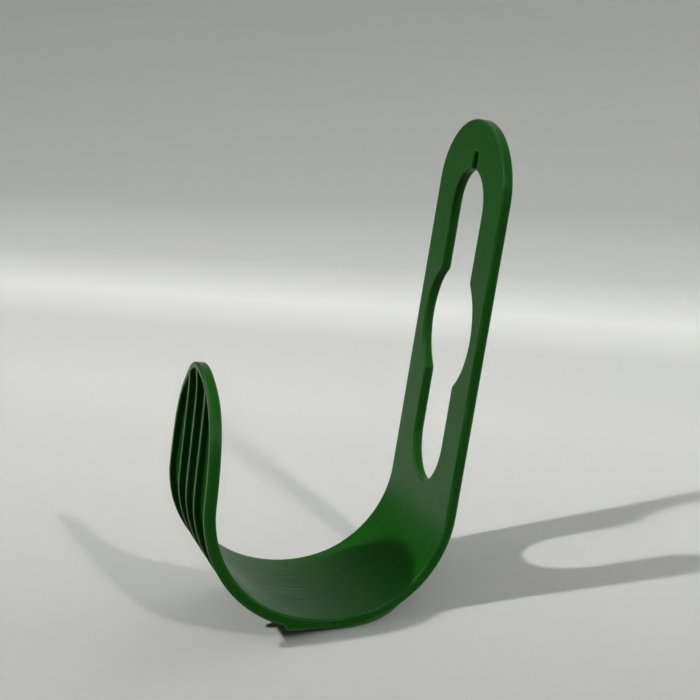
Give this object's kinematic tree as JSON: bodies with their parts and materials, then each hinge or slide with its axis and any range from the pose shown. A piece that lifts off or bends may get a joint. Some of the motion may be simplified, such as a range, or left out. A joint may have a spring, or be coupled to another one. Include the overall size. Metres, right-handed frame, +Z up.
{
  "type": "wall hose holder",
  "caption": "Moulded plastic strap hook that hangs on a wall nail or over a tap and carries a coiled garden hose in its rounded bend.",
  "frame": {"origin": "on the back face of the plate, on its centre line, 6 mm below the plate's top edge", "axes": "+Y out of the back face into the wall, -Y to the front where the hook reaches out, +Z up, X across the width"},
  "size_m": [0.06, 0.0899, 0.1756],
  "materials": {
    "green_plastic": "injection-moulded polypropylene, dark green right through, smooth with a soft sheen"
  },
  "bodies": {
    "root": {"hose_holder": "green_plastic"}
  },
  "joints": []
}
